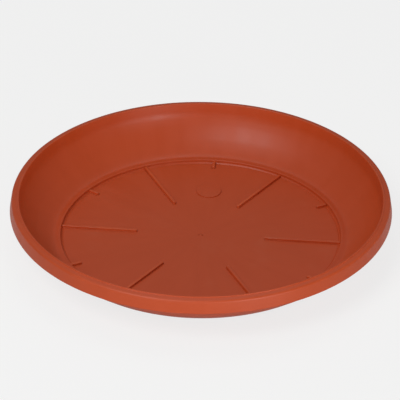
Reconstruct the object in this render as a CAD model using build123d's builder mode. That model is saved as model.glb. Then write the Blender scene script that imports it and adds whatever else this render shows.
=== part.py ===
from build123d import *
import os
from math import atan2, hypot, sqrt, tan

# Plant saucer, moulded in one shot from terracotta-coloured plastic.
# The moulding is divided at its natural features into solids that meet face to face:
# floor plate, foot ring, side wall, lip, band, ribs, blank boss and gate vestige.
# Millimetres and degrees. +Z is up, and the origin is the middle of the circle it stands on.

# Overall sizes
rim_diameter = 380.0
rim_height = 50.6
wall = 2.2

# Rim: an upright lip with a bead, a crowned top and an outer band that hangs free
rim_width = 9.3
lip_height = 12.7
lip_lean = 1.8
bead_width = 1.8
bead_height = 0.8
bead_chamfer = 0.4
crown_drop = 0.8
shoulder_chamfer = 1.3
band_depth = 14.8
band_lean = 2.0
band_edge = 1.7
band_edge_chamfer = 0.4

# Side wall: a bowl-shaped sweep from the ledge up to the lip
wall_reach = 28.1
wall_bow = 2.6
wall_bend_chamfer = 1.2
ledge_width = 10.9

# Step round the floor, so that the floor lies lower than the ledge at the foot of the wall.
# The low ring under the step is what the saucer stands on.
step_height = 3.3
step_run = 1.2
step_chamfer = 1.0
foot_width = 4.0
foot_height = 0.7

# Ribs that hold the pot clear of the water, long and short by turns
rib_pairs = 6
first_rib_angle = -5.6
rib_width = 3.0
rib_height = 2.3
rib_draft_angle = 3.0
rib_chamfer = 0.5
long_rib_length = 73.4
short_rib_length = 12.9
rib_to_step = 1.3

# Blank boss in line with a short rib, and the vestige left by the moulding gate
boss_diameter = 28.0
boss_height = 1.0
boss_chamfer = 0.4
boss_to_rib = 27.7
gate_diameter = 4.4
gate_height = 0.7
gate_draft_angle = 30.0

# Radii, from the rim inwards
rim_radius = rim_diameter / 2
shoulder_radius = rim_radius - band_lean
lip_top_radius = rim_radius - rim_width
bead_outer_radius = lip_top_radius + bead_width
lip_base_radius = lip_top_radius - lip_lean
wall_foot_radius = lip_base_radius - wall_reach
step_outer = wall_foot_radius - ledge_width
step_inner = step_outer - step_run
rib_outer_radius = step_inner - rib_to_step
short_rib_inner_radius = rib_outer_radius - short_rib_length
boss_centre_radius = short_rib_inner_radius - boss_to_rib - boss_diameter / 2

# Heights, from the ground up
floor_underside = foot_height
floor_top = floor_underside + wall
ledge_top = floor_top + step_height
ledge_underside = ledge_top - wall
band_bottom = rim_height - band_depth
lip_base_height = rim_height - lip_height
crown_height = rim_height - bead_height
shoulder_height = crown_height - crown_drop

# The back of the step keeps the wall's thickness, so it stands further out than the front by
# a shift. It runs on down to the ground as the outer side of the low ring, whose inner side
# leans at 45 degrees. The floor plate and the side wall meet the foot ring at those two ends.
step_shift = wall * tan(atan2(step_height, step_run) / 2)
ledge_radius = step_outer + step_shift
foot_outer = step_inner + step_shift - foot_height * step_run / step_height
foot_inner = foot_outer - foot_width
plate_radius = foot_inner - foot_height

# The wall's inner face is an arc over the chord from the ledge to the lip.
# Its outer face has the same centre, so the wall keeps one thickness.
chord = hypot(wall_reach, lip_base_height - ledge_top)
bowl_radius = (chord * chord / 4 + wall_bow * wall_bow) / (2 * wall_bow)
centre_lift = (bowl_radius - wall_bow) / chord
bowl_x = lip_base_radius - wall_reach / 2 - centre_lift * (lip_base_height - ledge_top)
bowl_z = (ledge_top + lip_base_height) / 2 + centre_lift * wall_reach
wall_top_outer = bowl_x + sqrt((bowl_radius + wall) ** 2 - (lip_base_height - bowl_z) ** 2)
wall_foot_outer = bowl_x + sqrt((bowl_radius + wall) ** 2 - (ledge_underside - bowl_z) ** 2)

os.makedirs("parts", exist_ok=True)

# Floor plate: the flat disc inside the foot ring
with BuildPart() as floor_plate:
    with BuildSketch(Plane.XY.offset(floor_underside)):
        Circle(plate_radius)
    extrude(amount=wall)
floor_plate.part.label = "floor_plate"
export_step(floor_plate.part, "parts/floor_plate.step")

# Foot ring: the step up from the floor to the ledge, with the low standing ring under it
with BuildPart() as foot_ring:
    with BuildSketch(Plane.XZ) as ring_section:
        with BuildLine():
            Polyline(
                (plate_radius, floor_top),
                (step_inner, floor_top),
                (step_outer, ledge_top),
                (ledge_radius, ledge_top),
                (ledge_radius, ledge_underside),
                (foot_outer, 0),
                (foot_inner, 0),
                (plate_radius, floor_underside),
                close=True,
            )
        make_face()
        corners = ring_section.vertices()
        step_foot = corners.sort_by_distance((step_inner, floor_top))[0]
        step_edge = corners.sort_by_distance((step_outer, ledge_top))[0]
        chamfer([step_foot, step_edge], step_chamfer)
    revolve(axis=Axis.Z)
foot_ring.part.label = "foot_ring"
export_step(foot_ring.part, "parts/foot_ring.step")

# Side wall: the ledge outside the step, and the bowl, which is the ring between two circles
# cut off level at the ledge and at the lip
with BuildPart() as side_wall:
    with BuildSketch(Plane.XZ) as wall_section:
        with Locations((bowl_x, bowl_z)):
            Circle(bowl_radius + wall)
            Circle(bowl_radius, mode=Mode.SUBTRACT)
        with Locations((ledge_radius, ledge_underside)):
            Rectangle(
                wall_top_outer - ledge_radius,
                lip_base_height - ledge_underside,
                align=(Align.MIN, Align.MIN),
                mode=Mode.INTERSECT,
            )
            Rectangle(wall_foot_radius - ledge_radius, wall, align=(Align.MIN, Align.MIN))
        corners = wall_section.vertices()
        inner_bend = corners.sort_by_distance((wall_foot_radius, ledge_top))[0]
        outer_bend = corners.sort_by_distance((wall_foot_outer, ledge_underside))[0]
        chamfer([inner_bend, outer_bend], wall_bend_chamfer)
    revolve(axis=Axis.Z)
side_wall.part.label = "side_wall"
export_step(side_wall.part, "parts/side_wall.step")

# Lip: the upright band above the bowl, with the bead that runs round its top edge
with BuildPart() as rim_lip:
    with BuildSketch(Plane.XZ) as lip_section:
        with BuildLine():
            Polyline(
                (lip_base_radius, lip_base_height),
                (lip_top_radius, rim_height),
                (bead_outer_radius, rim_height),
                (bead_outer_radius, crown_height - wall),
                (wall_top_outer, lip_base_height),
                close=True,
            )
        make_face()
        chamfer(lip_section.vertices().group_by(Axis.Y)[-1], bead_chamfer)
    revolve(axis=Axis.Z)
rim_lip.part.label = "rim_lip"
export_step(rim_lip.part, "parts/rim_lip.step")

# Band: the crowned top, the shoulder and the outer skirt, open underneath
with BuildPart() as rim_band:
    with BuildSketch(Plane.XZ) as band_section:
        with BuildLine():
            Polyline(
                (bead_outer_radius, crown_height),
                (shoulder_radius, shoulder_height),
                (rim_radius, band_bottom),
                (rim_radius - band_edge, band_bottom),
                (shoulder_radius - wall, shoulder_height - wall),
                (bead_outer_radius, crown_height - wall),
                close=True,
            )
        make_face()
        outer_edge = band_section.vertices().sort_by(Axis.X)[-1]
        shoulder = band_section.vertices().sort_by_distance((shoulder_radius, shoulder_height))[0]
        chamfer(outer_edge, band_edge_chamfer)
        chamfer(shoulder, shoulder_chamfer)
    revolve(axis=Axis.Z)
rim_band.part.label = "rim_band"
export_step(rim_band.part, "parts/rim_band.step")


# Rib: a drafted bar that starts just inside the step and runs in towards the middle
def radial_rib(name, length, angle):
    with BuildPart() as rib:
        with BuildSketch(Plane.XY.offset(floor_top).rotated((0, 0, angle))):
            with Locations((rib_outer_radius, 0)):
                Rectangle(length, rib_width, align=(Align.MAX, Align.CENTER))
        extrude(amount=rib_height, taper=rib_draft_angle)
        chamfer(rib.faces().sort_by(Axis.Z)[-1].edges(), rib_chamfer)
    rib.part.label = name
    export_step(rib.part, f"parts/{name}.step")


# Each short rib stands midway between two long ones
rib_pitch = 360 / rib_pairs
for index in range(rib_pairs):
    long_angle = first_rib_angle + index * rib_pitch
    radial_rib(f"long_rib_{index + 1}", long_rib_length, long_angle)
    radial_rib(f"short_rib_{index + 1}", short_rib_length, long_angle + rib_pitch / 2)

# Blank boss: the low round pad in line with the second short rib, left plain
boss_angle = first_rib_angle + 1.5 * rib_pitch
with BuildPart() as blank_boss:
    with BuildSketch(Plane.XY.offset(floor_top).rotated((0, 0, boss_angle))):
        with Locations((boss_centre_radius, 0)):
            Circle(boss_diameter / 2)
    extrude(amount=boss_height)
    chamfer(blank_boss.faces().sort_by(Axis.Z)[-1].edges(), boss_chamfer)
blank_boss.part.label = "blank_boss"
export_step(blank_boss.part, "parts/blank_boss.step")

# Gate vestige: the small cone left where the plastic entered the mould
with BuildPart() as gate_vestige:
    with BuildSketch(Plane.XY.offset(floor_top)):
        Circle(gate_diameter / 2)
    extrude(amount=gate_height, taper=gate_draft_angle)
gate_vestige.part.label = "gate_vestige"
export_step(gate_vestige.part, "parts/gate_vestige.step")
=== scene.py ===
# %% [markdown]
# # A terracotta-coloured plant saucer
# The saucer is one piece of moulded plastic: a floor set one step low, a bowl-shaped wall
# and a hollow rim. Its engineering model is already packed as a set of named solids. Here each
# of those solids gets its finished skin, in metres and in the same place.
# The engineering model is loaded first, because every size below is read from it.

# %% Load the engineering model
import bpy
import math
from mathutils import Matrix, Vector


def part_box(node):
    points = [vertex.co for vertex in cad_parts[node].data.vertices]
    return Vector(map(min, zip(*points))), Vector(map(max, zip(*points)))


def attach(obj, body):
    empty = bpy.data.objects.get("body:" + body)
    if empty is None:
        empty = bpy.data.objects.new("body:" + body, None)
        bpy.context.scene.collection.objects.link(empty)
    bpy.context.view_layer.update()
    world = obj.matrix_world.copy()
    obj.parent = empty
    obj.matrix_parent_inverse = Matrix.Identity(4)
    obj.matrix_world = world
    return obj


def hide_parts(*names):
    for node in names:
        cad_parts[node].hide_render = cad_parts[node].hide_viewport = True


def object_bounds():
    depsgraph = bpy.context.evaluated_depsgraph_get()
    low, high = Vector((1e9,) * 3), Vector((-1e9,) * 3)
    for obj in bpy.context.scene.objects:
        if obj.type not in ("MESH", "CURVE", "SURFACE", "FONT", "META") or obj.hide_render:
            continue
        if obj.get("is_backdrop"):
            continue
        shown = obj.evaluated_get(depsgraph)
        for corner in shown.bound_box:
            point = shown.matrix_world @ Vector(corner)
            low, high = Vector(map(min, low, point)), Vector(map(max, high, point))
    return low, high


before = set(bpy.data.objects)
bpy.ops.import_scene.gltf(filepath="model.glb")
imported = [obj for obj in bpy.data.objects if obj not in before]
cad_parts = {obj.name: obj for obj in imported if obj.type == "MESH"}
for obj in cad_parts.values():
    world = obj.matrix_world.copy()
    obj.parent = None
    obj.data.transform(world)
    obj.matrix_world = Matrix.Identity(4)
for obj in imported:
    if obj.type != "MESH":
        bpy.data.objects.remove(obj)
cad_low, cad_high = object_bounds()
mm = 0.001
cubic_cm = 1e-6
print("engineering model, mm:", [round((b - a) / mm, 2) for a, b in zip(cad_low, cad_high)])

# %% [markdown]
# ## The camera
# A picture is only comparable with its model if both are seen from the same place. The
# saucer's rim is a circle, so its outline in a picture is an ellipse, and the ellipse's
# proportions give the height from which it was seen. A long lens a few metres away keeps
# the perspective as flat as it is there. The camera comes first, because how much detail
# a form needs depends on how large it appears.

# %% Camera
picture_side_px = 400
focal_length_px = 3000
sensor_side = 36
view_elevation = math.radians(31.91)
view_roll = math.radians(0.459)
view_distance = 2.975
rim_centre_right_px = 0.957
rim_centre_up_px = 3.375

toward_camera = Vector((0, -math.cos(view_elevation), math.sin(view_elevation)))
picture_up = Vector((0, math.sin(view_elevation), math.cos(view_elevation)))
picture_right = Vector((1, 0, 0))
metres_per_px = view_distance / focal_length_px
rim_circle_height = 48.3 * mm
aim = Vector((0, 0, rim_circle_height))
aim -= picture_right * rim_centre_right_px * metres_per_px
aim -= picture_up * rim_centre_up_px * metres_per_px

camera = bpy.data.objects.new("camera", bpy.data.cameras.new("camera"))
bpy.context.scene.collection.objects.link(camera)
bpy.context.scene.camera = camera
camera.data.sensor_width = sensor_side
camera.data.lens = focal_length_px / picture_side_px * sensor_side
axes = Matrix((picture_right, picture_up, toward_camera)).transposed().to_4x4()
place = Matrix.Translation(aim + toward_camera * view_distance)
camera.matrix_world = place @ axes @ Matrix.Rotation(view_roll, 4, "Z")
print("lens, mm:", round(camera.data.lens, 1))

# %% [markdown]
# ## Sizes read from the engineering model
# A skin that repeats a model's sizes as typed numbers falls out of step as soon as the
# model changes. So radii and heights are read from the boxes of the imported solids. Only what
# no box shows is chosen in this file: leans, widths inside a section, and the small
# roundings that plastic gets from its mould.

# %% Sizes
band_low, band_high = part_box("rim_band")
lip_low, lip_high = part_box("rim_lip")
ring_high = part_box("foot_ring")[1]
plate_low, plate_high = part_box("floor_plate")

warp = 0.16 * mm
rim_radius = min(band_high.x, band_high.y, -band_low.x, -band_low.y) - warp
rim_height = lip_high.z - warp
band_bottom = band_low.z
crown_height = band_high.z - warp
bead_outer_radius = min(lip_high.x, lip_high.y)
lip_base_height = lip_low.z
floor_top = plate_high.z
floor_underside = plate_low.z
ledge_top = ring_high.z
ledge_radius = min(ring_high.x, ring_high.y)
plate_radius = min(plate_high.x, plate_high.y)
wall = floor_top - floor_underside
ledge_underside = ledge_top - wall
print("rim radius, mm:", round(rim_radius / mm, 2), " wall, mm:", round(wall / mm, 2))

# %% [markdown]
# ## The section of the shell
# Everything that turns on a lathe or comes round from a mould can be drawn as one half
# section. The section could be a Bezier curve with handles, but corners with a radius
# are closer to how a mould maker draws it, and each radius stays a number that can be
# changed. The function below replaces each corner with an arc. It also adds a point just
# before and after the arc, so that smooth shading doesn't spread over the flat beside it.

# %% Rounded corners
arc_step = math.radians(9)
guard = 0.35 * mm
largest_share_of_side = 0.45


def rounded_path(corners):
    """Points along a line of corners (x, z, radius), with an arc at each corner that has one."""
    points = []
    for index, (x, z, radius) in enumerate(corners):
        here = Vector((x, z))
        if radius == 0:
            points.append(here)
            continue
        back = Vector(corners[index - 1][:2]) - here
        ahead = Vector(corners[index + 1][:2]) - here
        room = largest_share_of_side * min(back.length, ahead.length)
        half_angle = back.angle(ahead) / 2
        reach = min(radius / math.tan(half_angle), room)
        back.normalize()
        ahead.normalize()
        centre = here + (back + ahead).normalized() * (reach / math.cos(half_angle))
        spoke = here + back * reach - centre
        turn = math.copysign(math.pi - 2 * half_angle, back.cross(ahead))
        steps = max(2, math.ceil(abs(turn) / arc_step))
        if reach + guard < room:
            points.append(here + back * (reach + guard))
        for step in range(steps + 1):
            points.append(centre + Matrix.Rotation(-turn * step / steps, 2) @ spoke)
        if reach + guard < room:
            points.append(here + ahead * (reach + guard))
    return points


# %% [markdown]
# The wall is an arc whose chord runs from the ledge to the lip. Three sizes fix it: how
# far the chord runs outwards, how far it climbs, and how far the arc bows below it. The
# outer face keeps the same centre, so the wall has one thickness all the way up. That skin
# is drawn thinner than the floor, because only a thin line of it shows below the band.

# %% Bowl arc
rim_width = 9.3 * mm
lip_lean = 1.8 * mm
wall_reach = 28.1 * mm
wall_bow = 2.6 * mm
bowl_steps = 18

lip_top_radius = rim_radius - rim_width
lip_base_radius = lip_top_radius - lip_lean
wall_foot_radius = lip_base_radius - wall_reach
climb = lip_base_height - ledge_top
chord = math.hypot(wall_reach, climb)
bowl_radius = (chord**2 / 4 + wall_bow**2) / (2 * wall_bow)
centre_lift = (bowl_radius - wall_bow) / chord
bowl_centre = Vector((
    lip_base_radius - wall_reach / 2 - centre_lift * climb,
    (ledge_top + lip_base_height) / 2 + centre_lift * wall_reach,
))


def bowl_arc(radius, low, high):
    """Corners up the bowl's arc of that radius, between two heights, with both ends left out."""
    start = math.asin((low - bowl_centre.y) / radius)
    end = math.asin((high - bowl_centre.y) / radius)
    corners = []
    for step in range(1, bowl_steps):
        a = start + (end - start) * step / bowl_steps
        on_arc = bowl_centre + radius * Vector((math.cos(a), math.sin(a)))
        corners.append((*on_arc, 0))
    return corners


def bowl_edge(radius, height):
    """Radius from the saucer's axis at which the bowl's arc crosses a height."""
    return bowl_centre.x + math.sqrt(radius**2 - (height - bowl_centre.y) ** 2)


wall_skin = 1.5 * mm
outer_radius = bowl_radius + wall_skin
wall_top_outer = bowl_edge(outer_radius, lip_base_height)
wall_foot_outer = bowl_edge(outer_radius, ledge_underside)
print("bowl arc radius, mm:", round(bowl_radius / mm, 1))

# %% [markdown]
# Now the whole section, from the middle of the floor up the step, over the rim and back
# under to the middle. The engineering model has the step as a plain slope. Here it gets a
# shallow groove at its foot, a steep riser, a low kerb along its edge and a shallow dip
# behind the kerb, because light picks out each as a line of its own. The low ring under the
# step is what the saucer stands on. The band hangs free and is open underneath, because a
# folded rim is what makes a thin wall stiff. Behind the dip the ledge runs up into the bowl on
# one smooth curve, which is pulled towards the corner between them as a handle would pull it.
# The bowl's arcs leave out their last few points at both ends, which makes room for that
# curve and for the wide roundings at the lip and under the ledge.

# %% Shell section
step_inset = 1.45 * mm
step_lean = 0.2 * mm
step_round = 0.6 * mm
riser_foot_rise = 1.0 * mm
groove_width = 2.8 * mm
groove_depth = 0.5 * mm
kerb_rise = 0.2 * mm
kerb_width = 2.0 * mm
kerb_fall_run = 3.6 * mm
ledge_dip = 0.4 * mm
kerb_round = 1.2 * mm
ledge_bend_steps = 10
foot_inset = 1.3 * mm
foot_width = 4.0 * mm
foot_round = 0.5 * mm
bend_round = 15.0 * mm
points_left_out_below = 6
crease_round = 22.0 * mm
points_left_out_above = 3
bead_width = 1.8 * mm
bead_round = 0.7 * mm
seat_round = 0.4 * mm
crown_drop = 0.8 * mm
band_lean = 2.0 * mm
shoulder_round = 2.4 * mm
band_edge = 1.7 * mm
edge_round = 0.5 * mm
hollow_round = 0.8 * mm

step_radius = ledge_radius - step_inset
groove_inner = step_radius - groove_width
groove_middle = step_radius - groove_width / 2
kerb_outer = step_radius + kerb_width
foot_outer = ledge_radius - foot_inset
foot_inner = foot_outer - foot_width
shoulder_radius = rim_radius - band_lean
shoulder_height = crown_height - crown_drop

kept = slice(points_left_out_below, -points_left_out_above)
inner_arc = bowl_arc(bowl_radius, ledge_top, lip_base_height)[kept]
outer_arc = bowl_arc(outer_radius, ledge_underside, lip_base_height)[kept]

bend_start = Vector((kerb_outer + kerb_fall_run, ledge_top - ledge_dip))
bend_corner = Vector((wall_foot_radius, ledge_top - ledge_dip))
bend_end = Vector(inner_arc[0][:2])
ledge_bend = []
for step in range(ledge_bend_steps):
    t = step / ledge_bend_steps
    on_curve = bend_start * (1 - t) ** 2 + bend_corner * (2 * t * (1 - t)) + bend_end * t**2
    ledge_bend.append((*on_curve, 0))

section_corners = [
    (0, floor_top, 0),
    (groove_inner, floor_top, step_round),
    (groove_middle, floor_top - groove_depth, step_round),
    (step_radius - step_lean, floor_top + riser_foot_rise, step_round),
    (step_radius, ledge_top + kerb_rise, step_round),
    (kerb_outer, ledge_top + kerb_rise, kerb_round),
    *ledge_bend,
    *inner_arc,
    (lip_base_radius, lip_base_height, crease_round),
    (lip_top_radius, rim_height, bead_round),
    (lip_top_radius + bead_width, rim_height, bead_round),
    (lip_top_radius + bead_width, crown_height, seat_round),
    (shoulder_radius, shoulder_height, shoulder_round),
    (rim_radius, band_bottom, edge_round),
    (rim_radius - band_edge, band_bottom, edge_round),
    (shoulder_radius - wall, shoulder_height - wall, hollow_round),
    (bead_outer_radius, crown_height - wall, hollow_round),
    (wall_top_outer, lip_base_height, crease_round),
    *reversed(outer_arc),
    (wall_foot_outer, ledge_underside, bend_round),
    (ledge_radius, ledge_underside, foot_round),
    (foot_outer, 0, foot_round),
    (foot_inner, 0, foot_round),
    (plate_radius, floor_underside, foot_round),
    (0, floor_underside, 0),
]
section = rounded_path(section_corners)
print("shell section:", len(section_corners), "corners make", len(section), "points")

# %% [markdown]
# ## A lathe in Geometry Nodes
# A Screw modifier or the Spin operator would turn the section too. A node tree is kept
# here because the same lathe then makes the shell, the boss and the gate mark, and its
# sizes stay inputs. It lays out a flat grid whose rows are the section's points and whose
# columns are turns round the axis, moves each grid point to its place, and merges what
# falls together at the seam and on the axis, so that the skin is closed.


# %% Helpers for node trees
def new_tree(name, kind, inputs, outputs):
    """A node tree with its own sockets, and its input and output nodes."""
    tree = bpy.data.node_groups.new(name, kind)
    for label, socket_type, value in inputs:
        socket = tree.interface.new_socket(label, in_out="INPUT", socket_type=socket_type)
        if value is not None:
            socket.default_value = value
    for label, socket_type in outputs:
        tree.interface.new_socket(label, in_out="OUTPUT", socket_type=socket_type)
    return tree, tree.nodes.new("NodeGroupInput"), tree.nodes.new("NodeGroupOutput")


def add(tree, kind, settings=None, **wires):
    """A node whose settings are set first. Each wire goes to the input of that name or number."""
    item = tree.nodes.new(kind)
    for key, value in (settings or {}).items():
        setattr(item, key, value)
    for key, value in wires.items():
        label = key.replace("_", " ")
        socket = item.inputs[int(key[1:])] if key[1:].isdigit() else item.inputs[label]
        if isinstance(value, bpy.types.NodeSocket):
            tree.links.new(value, socket)
        else:
            socket.default_value = value
    return item


def work_out(tree, operation, first, second):
    """The result of a math node on two values or wires."""
    return add(tree, "ShaderNodeMath", {"operation": operation}, n0=first, n1=second).outputs[0]


# %% [markdown]
# The first half of the tree lays out the grid and turns it. The grid counts along one row
# before it starts the next, so a point's number divided by the columns gives its row, and
# what is left over gives its column.

# %% Lathe tree
lathe, given, made = new_tree(
    "Lathe",
    "GeometryNodeTree",
    [
        ("Section", "NodeSocketGeometry", None),
        ("Turns", "NodeSocketInt", 64),
        ("Warp", "NodeSocketFloat", 0.0),
        ("Warp From", "NodeSocketFloat", 0.0),
        ("Warp To", "NodeSocketFloat", 1.0),
        ("Seed", "NodeSocketFloat", 0.0),
        ("Material", "NodeSocketMaterial", None),
    ],
    [("Mesh", "NodeSocketGeometry")],
)

points = add(lathe, "GeometryNodeAttributeDomainSize", Geometry=given.outputs["Section"])
columns = work_out(lathe, "ADD", given.outputs["Turns"], 1.0)
grid = add(
    lathe,
    "GeometryNodeMeshGrid",
    Vertices_X=points.outputs["Point Count"],
    Vertices_Y=columns,
)
index = add(lathe, "GeometryNodeInputIndex").outputs[0]
row = work_out(lathe, "FLOOR", work_out(lathe, "DIVIDE", index, columns), 0.0)
column = work_out(lathe, "SUBTRACT", index, work_out(lathe, "MULTIPLY", row, columns))
angle_times_turns = work_out(lathe, "MULTIPLY", column, math.tau)
angle = work_out(lathe, "DIVIDE", angle_times_turns, given.outputs["Turns"])
position = add(lathe, "GeometryNodeInputPosition").outputs[0]
drawn = add(
    lathe,
    "GeometryNodeSampleIndex",
    {"data_type": "FLOAT_VECTOR"},
    Geometry=given.outputs["Section"],
    Value=position,
    Index=row,
)
turned = add(
    lathe,
    "ShaderNodeVectorRotate",
    {"rotation_type": "Z_AXIS"},
    Vector=drawn.outputs[0],
    Angle=angle,
)
placed = add(
    lathe, "GeometryNodeSetPosition", Geometry=grid.outputs["Mesh"], Position=turned.outputs[0]
)

# %% [markdown]
# No large moulding is perfectly round: it cools unevenly and ends a fraction of a
# millimetre out of true. The tree adds that with a slow noise that grows from nothing at
# the foot to its full size at the rim, and that starts from a fixed seed. A noise runs from
# 0 to 1, so it is moved to the middle and doubled, which makes it swing both ways alike.

# %% Warp and finish of the lathe
waves_per_metre = 9.0
full_swing = 2.0
weld_distance = 1e-6

flattened = add(
    lathe, "ShaderNodeVectorMath", {"operation": "MULTIPLY"}, n0=position, n1=(1, 1, 0)
)
axis_distance = add(
    lathe, "ShaderNodeVectorMath", {"operation": "LENGTH"}, n0=flattened.outputs[0]
).outputs["Value"]
share = add(
    lathe,
    "ShaderNodeMapRange",
    {"interpolation_type": "SMOOTHSTEP"},
    Value=axis_distance,
    From_Min=given.outputs["Warp From"],
    From_Max=given.outputs["Warp To"],
).outputs[0]
slow = add(
    lathe,
    "ShaderNodeTexNoise",
    {"noise_dimensions": "4D"},
    Vector=position,
    W=given.outputs["Seed"],
    Scale=waves_per_metre,
    Detail=1.0,
)
centred = add(
    lathe,
    "ShaderNodeVectorMath",
    {"operation": "SUBTRACT"},
    n0=slow.outputs["Color"],
    n1=(0.5, 0.5, 0.5),
)
swing = work_out(lathe, "MULTIPLY", share, full_swing)
amount = work_out(lathe, "MULTIPLY", swing, given.outputs["Warp"])
offset = add(
    lathe, "ShaderNodeVectorMath", {"operation": "SCALE"}, n0=centred.outputs[0], Scale=amount
)
welded = add(
    lathe, "GeometryNodeMergeByDistance", Geometry=placed.outputs[0], Distance=weld_distance
)
warped = add(lathe, "GeometryNodeSetPosition", Geometry=welded.outputs[0], Offset=offset.outputs[0])
smooth = add(lathe, "GeometryNodeSetShadeSmooth", Geometry=warped.outputs[0])
real = add(lathe, "GeometryNodeRealizeInstances", Geometry=smooth.outputs[0])
finished = add(
    lathe, "GeometryNodeSetMaterial", Geometry=real.outputs[0], Material=given.outputs["Material"]
)
lathe.links.new(finished.outputs[0], made.inputs["Mesh"])
print("lathe tree:", len(lathe.nodes), "nodes")


# %% [markdown]
# A node tree works on an object through a modifier. The next helper gives a starting mesh
# to a tree, sets the tree's inputs, and keeps the result as a plain mesh. Inputs are set
# by their identifiers, because the names are only labels.


# %% Grow a mesh with a tree
def chain(name, path):
    """A mesh of points joined in a row, standing in the XZ plane."""
    mesh = bpy.data.meshes.new(name)
    vertices = [(point.x, 0, point.y) for point in path]
    mesh.from_pydata(vertices, [(i, i + 1) for i in range(len(path) - 1)], [])
    return mesh


def grow(name, start, tree, values):
    """The mesh that a node tree makes from a starting mesh, as a new object."""
    seedling = bpy.data.objects.new(name + "_start", start)
    bpy.context.scene.collection.objects.link(seedling)
    modifier = seedling.modifiers.new("grow", "NODES")
    modifier.node_group = tree
    for socket in tree.interface.items_tree:
        if socket.in_out == "INPUT" and socket.name in values:
            modifier[socket.identifier] = values[socket.name]
    evaluated = seedling.evaluated_get(bpy.context.evaluated_depsgraph_get())
    mesh = bpy.data.meshes.new_from_object(evaluated)
    mesh.name = name
    piece = bpy.data.objects.new(name, mesh)
    bpy.context.scene.collection.objects.link(piece)
    bpy.data.objects.remove(seedling)
    return piece


def measure(piece):
    """Prints a piece's size, its triangles and the volume inside its faces."""
    mesh = piece.data
    mesh.calc_loop_triangles()
    volume = 0
    for triangle in mesh.loop_triangles:
        a, b, c = (mesh.vertices[i].co for i in triangle.vertices)
        volume += a.dot(b.cross(c)) / 6
    size = [round(side / mm, 2) for side in piece.dimensions]
    print(piece.name, "size, mm:", size)
    print("    triangles:", len(mesh.loop_triangles), " cm3:", round(volume / cubic_cm, 2))


# %% [markdown]
# ## Colours
# The plastic is coloured right through, so there is no paint to chip and no print. A colour
# that was picked on a screen has to be turned into the linear values that shaders use.


# %% Colours
def paint(red, green, blue):
    """A colour picked on screen, from 0 to 255, as the linear values that a shader takes."""
    values = [channel / 255 for channel in (red, green, blue)]
    linear = [v / 12.92 if v <= 0.04045 else ((v + 0.055) / 1.055) ** 2.4 for v in values]
    return (*linear, 1)


terracotta_pale = paint(197, 77, 34)
terracotta_deep = paint(195, 75, 31)
# A paler terracotta for the ribs: a painted highlight for the light on the rib tops.
rib_painted_highlight_pale = paint(207, 87, 42)
pale_film = paint(199, 92, 56)
print("terracotta, linear:", [round(value, 3) for value in terracotta_pale[:3]])

# %% [markdown]
# ## Mould grain
# A mould is spark-worn or blasted, and the plastic copies that fine grain. It also shrinks a
# little unevenly as it cools, which bends a highlight slowly from place to place. Both are
# bumps, and both are too shallow to be worth faces. They are made once, as a node group,
# because more than one material carries them, and they read Object coordinates, so that
# they stay on the plastic from every side.

# %% Mould grain group
grain_size = 0.7 * mm
shrink_size = 28 * mm
grain_share = 0.22

mould_grain, given, made = new_tree(
    "Mould grain",
    "ShaderNodeTree",
    [("Vector", "NodeSocketVector", None), ("Grain Share", "NodeSocketFloat", grain_share)],
    [("Height", "NodeSocketFloat")],
)
surface = given.outputs["Vector"]
fine = add(mould_grain, "ShaderNodeTexNoise", Vector=surface, Scale=1 / grain_size, Detail=2.0)
slow = add(mould_grain, "ShaderNodeTexNoise", Vector=surface, Scale=1 / shrink_size, Detail=1.0)
height = add(
    mould_grain,
    "ShaderNodeMix",
    {"data_type": "FLOAT"},
    Factor=given.outputs["Grain Share"],
    A=slow.outputs[0],
    B=fine.outputs[0],
)
mould_grain.links.new(height.outputs[0], made.inputs["Height"])
print("mould grain:", len(mould_grain.nodes), "nodes")

# %% [markdown]
# ## Flow marks
# Molten plastic runs out from the gate in the middle to the rim, and its pigment keeps faint
# streaks along that way. A plain noise has no direction. This one is read on a vector made of
# the direction from the middle, which changes fast, and the distance from it, which changes
# slowly, so its blotches are drawn out into rays, and no seam shows where an angle would jump.

# %% Flow mark group
streaks_round = 9.0
streak_length = 60 * mm
streak_starts = 0.34
streak_full = 0.66

flow_marks, given, made = new_tree(
    "Flow marks",
    "ShaderNodeTree",
    [("Vector", "NodeSocketVector", None)],
    [("Mask", "NodeSocketFloat")],
)
surface = given.outputs["Vector"]
flat = add(
    flow_marks, "ShaderNodeVectorMath", {"operation": "MULTIPLY"}, n0=surface, n1=(1, 1, 0)
).outputs[0]
direction = add(flow_marks, "ShaderNodeVectorMath", {"operation": "NORMALIZE"}, n0=flat).outputs[0]
fast = add(
    flow_marks, "ShaderNodeVectorMath", {"operation": "SCALE"}, n0=direction, Scale=streaks_round
).outputs[0]
distance = add(flow_marks, "ShaderNodeVectorMath", {"operation": "LENGTH"}, n0=surface)
along_ray = work_out(flow_marks, "DIVIDE", distance.outputs["Value"], streak_length)
lengthwise = add(flow_marks, "ShaderNodeCombineXYZ", Z=along_ray)
drawn_out = add(
    flow_marks, "ShaderNodeVectorMath", {"operation": "ADD"}, n0=fast, n1=lengthwise.outputs[0]
)
streaks = add(flow_marks, "ShaderNodeTexNoise", Vector=drawn_out.outputs[0], Scale=1.0, Detail=3.0)
clear = add(
    flow_marks,
    "ShaderNodeMapRange",
    {"interpolation_type": "SMOOTHSTEP"},
    Value=streaks.outputs[0],
    From_Min=streak_starts,
    From_Max=streak_full,
)
flow_marks.links.new(clear.outputs[0], made.inputs["Mask"])
print("flow marks:", len(flow_marks.nodes), "nodes")

# %% [markdown]
# ## Smudges
# A saucer's floor is never quite clean: a cloudy film lies here and there on faces that look
# up, and thins out as the wall steepens. The mask is a broken noise, kept only where the
# surface normal points up.

# %% Smudge group
smudge_size = 45 * mm
smudge_brokenness = 0.62
smudge_starts = 0.52
smudge_full = 0.74
lies_up_from = 0.7

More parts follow.
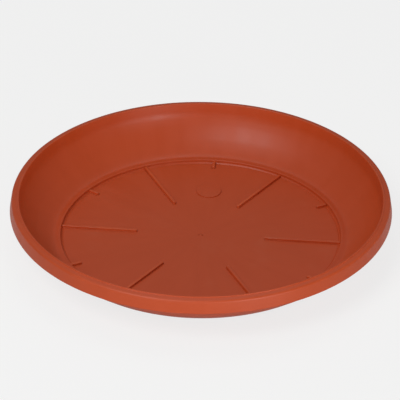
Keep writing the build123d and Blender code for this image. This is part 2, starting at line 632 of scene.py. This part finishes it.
smudges, given, made = new_tree(
    "Smudges",
    "ShaderNodeTree",
    [("Vector", "NodeSocketVector", None), ("Amount", "NodeSocketFloat", 0.5)],
    [("Mask", "NodeSocketFloat")],
)
cloud = add(
    smudges,
    "ShaderNodeTexNoise",
    Vector=given.outputs["Vector"],
    Scale=1 / smudge_size,
    Detail=5.0,
    Roughness=smudge_brokenness,
)
patches = add(
    smudges,
    "ShaderNodeMapRange",
    {"interpolation_type": "SMOOTHSTEP"},
    Value=cloud.outputs[0],
    From_Min=smudge_starts,
    From_Max=smudge_full,
)
normal = add(smudges, "ShaderNodeNewGeometry").outputs["Normal"]
climb_of_normal = add(smudges, "ShaderNodeSeparateXYZ", Vector=normal).outputs["Z"]
upward = add(
    smudges, "ShaderNodeMapRange", Value=climb_of_normal, From_Min=lies_up_from, From_Max=1.0
)
lying = work_out(smudges, "MULTIPLY", patches.outputs[0], upward.outputs[0])
strength = work_out(smudges, "MULTIPLY", lying, given.outputs["Amount"])
smudges.links.new(strength, made.inputs["Mask"])
print("smudges:", len(smudges.nodes), "nodes")

# %% [markdown]
# ## The two plastics
# Shell and ribs are the same plastic. The ribs carry the pots, though, so their skin is
# rubbed a little smoother and their grain is worn down. Their colours are painted paler, a
# painted highlight for the light that catches the rib tops, and more pale film lies on them.
# One function wires the groups into a Principled shader, and what differs are its arguments.


# %% Plastic materials
bump_strength = 0.5
bump_depth = 0.25 * mm
plastic_ior = 1.45


def group_node(tree, group, **wires):
    """A node group placed in a material."""
    return add(tree, "ShaderNodeGroup", {"node_tree": group}, **wires)


def moulded_plastic(name, deep, pale, smoothest, roughest, grain_kept, smudged):
    """Terracotta plastic with grain, flow marks and smudges, as a new material."""
    material = bpy.data.materials.new(name)
    material.use_nodes = True
    tree = material.node_tree
    shader = tree.nodes["Principled BSDF"]
    place = add(tree, "ShaderNodeTexCoord").outputs["Object"]
    flow = group_node(tree, flow_marks, Vector=place).outputs["Mask"]
    smudge = group_node(tree, smudges, Vector=place, Amount=smudged).outputs["Mask"]
    height = group_node(tree, mould_grain, Vector=place, Grain_Share=grain_kept).outputs["Height"]
    colours = {"data_type": "RGBA"}
    streaked = add(tree, "ShaderNodeMix", colours, Factor=flow, n6=deep, n7=pale).outputs[2]
    filmed = add(tree, "ShaderNodeMix", colours, Factor=smudge, n6=streaked, n7=pale_film)
    gloss = add(tree, "ShaderNodeMapRange", Value=flow, To_Min=smoothest, To_Max=roughest)
    bump = add(tree, "ShaderNodeBump", Height=height, Strength=bump_strength, Distance=bump_depth)
    tree.links.new(filmed.outputs[2], shader.inputs["Base Color"])
    tree.links.new(gloss.outputs[0], shader.inputs["Roughness"])
    tree.links.new(bump.outputs[0], shader.inputs["Normal"])
    shader.inputs["IOR"].default_value = plastic_ior
    return material


plastic = moulded_plastic(
    "terracotta_plastic",
    terracotta_deep,
    terracotta_pale,
    smoothest=0.4,
    roughest=0.46,
    grain_kept=grain_share,
    smudged=0.25,
)
# Painted highlight: the ribs mix two colours paler than the shell's, standing in for the light on
# their tops.
rubbed_plastic_painted_highlight = moulded_plastic(
    "rubbed_terracotta_painted_highlight",
    terracotta_pale,
    rib_painted_highlight_pale,
    smoothest=0.36,
    roughest=0.42,
    grain_kept=grain_share / 2,
    smudged=0.6,
)
print("materials:", plastic.name, "and", rubbed_plastic_painted_highlight.name)

# %% [markdown]
# ## The shell
# The section and the lathe now make the whole shell in one go. The number of turns is
# chosen so that a facet at the rim is about four millimetres long, which is where the rim's
# outline stops showing corners at the size of the picture.

# %% Shell
turns_round = 288
shell_seed = 4.0
shell = grow(
    "saucer_shell",
    chain("shell_section", section),
    lathe,
    {
        "Turns": turns_round,
        "Warp": warp,
        "Warp From": ledge_radius,
        "Warp To": rim_radius,
        "Seed": shell_seed,
        "Material": plastic,
    },
)
measure(shell)

# %% [markdown]
# ## Ribs
# A rib is a narrow bar with sides that lean in, so that it leaves the mould, a rounded
# top edge and a fillet at its root. Its outline seen from above is a long rectangle with
# rounded corners. The mesh walks round that outline once for each point of the bar's
# half section, moving in as it climbs, and closes the top and the bottom.

# %% One rib
rib_draft_angle = math.radians(3)
rib_corner_round = 0.7 * mm
rib_corner_steps = 5
rib_top_round = 0.5 * mm
rib_root_round = 0.5 * mm
skin_sunk = 0.6 * mm
rib_into_step = 2.4 * mm


def turn_about_axis(node):
    """The angle about the saucer's axis at which a solid stands, from its vertices' mean."""
    corners = [vertex.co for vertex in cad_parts[node].data.vertices]
    middle = sum(corners, Vector()) / len(corners)
    return math.atan2(middle.y, middle.x)


def along(node, angle):
    """A solid's vertices, turned back so that it lies along +X."""
    turn_back = Matrix.Rotation(-angle, 3, "Z")
    return [turn_back @ vertex.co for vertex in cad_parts[node].data.vertices]


def rib_outline(start, end, width):
    """Corner points and outward directions round a long rectangle with rounded corners."""
    half = width / 2
    outline = []
    for quarter, (x, y) in enumerate([(end, half), (start, half), (start, -half), (end, -half)]):
        centre = Vector((
            x - math.copysign(rib_corner_round, x - (start + end) / 2),
            y - math.copysign(rib_corner_round, y),
        ))
        for step in range(rib_corner_steps + 1):
            a = (quarter + step / rib_corner_steps) * math.pi / 2
            outward = Vector((math.cos(a), math.sin(a)))
            outline.append((centre + outward * rib_corner_round, outward))
    return outline


def rib_mesh(name, node, trim):
    """A finished rib lying along +X, where the solid of that name would be, less a trim inside."""
    angle = turn_about_axis(node)
    corners = along(node, angle)
    low = Vector([min(corner[i] for corner in corners) for i in range(3)])
    high = Vector([max(corner[i] for corner in corners) for i in range(3)])
    rise = high.z - low.z
    lean = rise * math.tan(rib_draft_angle)
    half_section = rounded_path([
        (rib_root_round, -skin_sunk, 0),
        (rib_root_round, 0, 0),
        (0, 0, rib_root_round),
        (-lean, rise, rib_top_round),
        (-high.y, rise, 0),
    ])[:-1]
    outline = rib_outline(low.x + trim, high.x + rib_into_step, high.y - low.y)
    count = len(outline)
    vertices = []
    for inward in half_section:
        for point, outward in outline:
            place = point + outward * inward.x
            vertices.append((place.x, place.y, low.z + inward.y))
    faces = []
    for level in range(len(half_section) - 1):
        for step in range(count):
            following = (step + 1) % count
            a, b = level * count + step, level * count + following
            faces.append((a, b, b + count, a + count))
    faces.append(tuple(reversed(range(count))))
    faces.append(tuple(range(len(vertices) - count, len(vertices))))
    mesh = bpy.data.meshes.new(name)
    mesh.from_pydata(vertices, [], faces)
    return mesh, angle


# %% [markdown]
# The ribs stand round the middle like spokes, so one rib of each length is enough, and a tree
# places its copies. It makes as many points as there are ribs, all in the middle, and
# turns each copy by its number's share of a full turn. The copies are then made real, so that
# a plain mesh comes out.

# %% Spokes tree
spokes, given, made = new_tree(
    "Spokes",
    "GeometryNodeTree",
    [
        ("Spoke", "NodeSocketGeometry", None),
        ("Count", "NodeSocketInt", 6),
        ("First Angle", "NodeSocketFloat", 0.0),
        ("Material", "NodeSocketMaterial", None),
    ],
    [("Mesh", "NodeSocketGeometry")],
)
hubs = add(spokes, "GeometryNodePoints", Count=given.outputs["Count"])
number = add(spokes, "GeometryNodeInputIndex").outputs[0]
pitch = work_out(spokes, "DIVIDE", math.tau, given.outputs["Count"])
spoke_angle = work_out(
    spokes, "ADD", work_out(spokes, "MULTIPLY", number, pitch), given.outputs["First Angle"]
)
turned = add(spokes, "ShaderNodeCombineXYZ", Z=spoke_angle)
copies = add(
    spokes,
    "GeometryNodeInstanceOnPoints",
    Points=hubs.outputs[0],
    Instance=given.outputs["Spoke"],
    Rotation=turned.outputs[0],
)
real = add(spokes, "GeometryNodeRealizeInstances", Geometry=copies.outputs[0])
smooth = add(spokes, "GeometryNodeSetShadeSmooth", Geometry=real.outputs[0])
finished = add(
    spokes,
    "GeometryNodeSetMaterial",
    Geometry=smooth.outputs[0],
    Material=given.outputs["Material"],
)
spokes.links.new(finished.outputs[0], made.inputs["Mesh"])
print("spokes tree:", len(spokes.nodes), "nodes")

# %% [markdown]
# Both sets take their place, height and width from their solids. The solids stop just short
# of the step. Here the ribs run on into its riser, across the groove, and the short ones end
# a little sooner towards the middle.

# %% Long and short ribs
rib_count = 6
short_rib_trim = 4.2 * mm


def rib_set(name, node, trim):
    """All the ribs of one length, as one piece."""
    mesh, first_angle = rib_mesh(name + "_one", node, trim)
    # The ribs take the plastic with the painted highlight.
    values = {"Count": rib_count, "First Angle": first_angle, "Material": rubbed_plastic_painted_highlight}
    piece = grow(name, mesh, spokes, values)
    measure(piece)
    return piece


long_ribs = rib_set("long_ribs", "long_rib_1", 0)
short_ribs = rib_set("short_ribs", "short_rib_1", short_rib_trim)


# %% [markdown]
# ## Boss and gate mark
# The pad near the back and the mark of the gate are turned shapes too, so they come from the
# same lathe. Each is a small section with roundings of its own, moved to its solid's place.
# The pad is trimmed a little at its front. Like the ribs, both reach a short way down
# into the floor, so that no slit can show.

# %% Boss and gate mark
def button(name, node, trim, root_round, top_round, lean, turns):
    """A low round button in the place of the solid of that name, trimmed from its front side."""
    low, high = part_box(node)
    middle = (low + high) / 2
    middle.y += trim
    radius = (high.x - low.x) / 2 - trim
    rise = high.z - low.z
    path = rounded_path([
        (0, rise, 0),
        (radius - lean, rise, top_round),
        (radius, 0, root_round),
        (radius + root_round, 0, 0),
        (radius + root_round, -skin_sunk, 0),
        (0, -skin_sunk, 0),
    ])
    piece = grow(name, chain(name + "_section", path), lathe, {"Turns": turns, "Material": plastic})
    piece.data.transform(Matrix.Translation((middle.x, middle.y, low.z)))
    measure(piece)
    return piece


boss = button(
    "blank_boss_skin",
    "blank_boss",
    trim=1.4 * mm,
    root_round=0.2 * mm,
    top_round=0.25 * mm,
    lean=0.05 * mm,
    turns=96,
)
gate = button(
    "gate_mark",
    "gate_vestige",
    trim=0,
    root_round=0.3 * mm,
    top_round=0.25 * mm,
    lean=1.2 * mm,
    turns=48,
)

# %% [markdown]
# ## The studio
# The saucer stands on a plain white floor that reaches far enough for no edge to show. It
# should appear white in the picture, but a surface lit until it is white would throw too much
# light back on the plastic. So its material tells rays apart with Light Path: what the
# camera sees, directly or through glass, is mostly a plain white glow of strength 1, with a
# share of the lit surface that keeps the saucer's shadow. Reflections see less of the glow,
# because satin plastic that is seen at a flat angle would go chalky, and all other rays
# meet pale matt paint.

# %% Studio floor
floor_reach = 30.0
floor_paint = paint(222, 222, 220)
floor_roughness = 0.9
shadow_share = 0.22
mirrored_share = 0.3

studio_white = bpy.data.materials.new("studio_white")
studio_white.use_nodes = True
tree = studio_white.node_tree
matt = tree.nodes["Principled BSDF"]
matt.inputs["Base Color"].default_value = floor_paint
matt.inputs["Roughness"].default_value = floor_roughness
glow = add(tree, "ShaderNodeEmission", Strength=1.0)
rays_seen = add(tree, "ShaderNodeLightPath").outputs
mirrored = work_out(tree, "MULTIPLY", rays_seen["Is Glossy Ray"], mirrored_share)
seen = work_out(tree, "ADD", rays_seen["Is Camera Ray"], mirrored)
seen = work_out(tree, "ADD", seen, rays_seen["Is Transmission Ray"])
share = work_out(tree, "MULTIPLY", seen, 1 - shadow_share)
both = add(tree, "ShaderNodeMixShader", n0=share, n1=matt.outputs[0], n2=glow.outputs[0])
tree.links.new(both.outputs[0], tree.nodes["Material Output"].inputs["Surface"])

floor_mesh = bpy.data.meshes.new("studio_floor")
floor_mesh.from_pydata([
    (-floor_reach, -floor_reach, 0),
    (floor_reach, -floor_reach, 0),
    (floor_reach, floor_reach, 0),
    (-floor_reach, floor_reach, 0),
], [], [(0, 1, 2, 3)])
floor_mesh.materials.append(studio_white)
studio_floor = bpy.data.objects.new("studio_floor", floor_mesh)
bpy.context.scene.collection.objects.link(studio_floor)
studio_floor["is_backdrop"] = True
print("studio floor, m across:", 2 * floor_reach)

# %% [markdown]
# ## Light
# A large lamp close by gives soft shadows, and a small one far away gives hard ones. Here four
# wide square lamps stand about two metres off. The key light hangs high at the front left and
# does most of the work. The low light at the front right is almost level with the saucer, so
# it shines in over the rim, and the ribs and the step answer it with lines of shade. A weak
# light in front fills the band, and one behind falls steeply on the floor and little on the
# wall. The world's even light fills the rest, so that no shade is black. Light adds up, so
# the lamps' shares were found from test pictures that had one lamp each.

# %% Light
world_strength = 0.22
lamp_distance = 2.2

world = bpy.data.worlds.new("studio")
bpy.context.scene.world = world
world.use_nodes = True
background = world.node_tree.nodes["Background"]
background.inputs["Color"].default_value = (1, 1, 1, 1)
background.inputs["Strength"].default_value = world_strength
bpy.context.scene.view_settings.view_transform = "Standard"


def softbox(name, azimuth, elevation, side, watts):
    """A square light that looks at the saucer from a compass direction and a height."""
    lamp = bpy.data.lights.new(name, "AREA")
    lamp.size = side
    lamp.energy = watts
    body = bpy.data.objects.new(name, lamp)
    bpy.context.scene.collection.objects.link(body)
    a, e = math.radians(azimuth), math.radians(elevation)
    direction = Vector((math.cos(a) * math.cos(e), math.sin(a) * math.cos(e), math.sin(e)))
    body.location = direction * lamp_distance
    body.rotation_mode = "QUATERNION"
    body.rotation_quaternion = direction.to_track_quat("Z", "Y")


softbox("key_light", azimuth=-128, elevation=52, side=1.0, watts=17.8)
softbox("low_light", azimuth=-60, elevation=8, side=0.6, watts=16.2)
softbox("front_light", azimuth=-110, elevation=6, side=0.6, watts=3.0)
softbox("back_light", azimuth=90, elevation=66, side=0.9, watts=4.6)
print("lamps:", len(bpy.data.lights))

# %% [markdown]
# ## Handing over
# Every piece rides on the saucer's one rigid body, and the engineering solids that it
# stands in for are hidden. The room left between the box of the bare and of the dressed part
# is printed.

# %% Hand over to the frame
long_names = [f"long_rib_{i + 1}" for i in range(rib_count)]
short_names = [f"short_rib_{i + 1}" for i in range(rib_count)]
shell_nodes = ["floor_plate", "foot_ring", "side_wall", "rim_lip", "rim_band"]
for piece, nodes in (
    (shell, shell_nodes),
    (long_ribs, long_names),
    (short_ribs, short_names),
    (boss, ["blank_boss"]),
    (gate, ["gate_vestige"]),
):
    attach(piece, "root")
    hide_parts(*nodes)

dressed_low, dressed_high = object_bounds()
room_low = [round((dressed - bare) / mm, 3) for bare, dressed in zip(cad_low, dressed_low)]
room_high = [round((bare - dressed) / mm, 3) for bare, dressed in zip(cad_high, dressed_high)]
print("room left inside the engineering box, mm:", room_low, room_high)
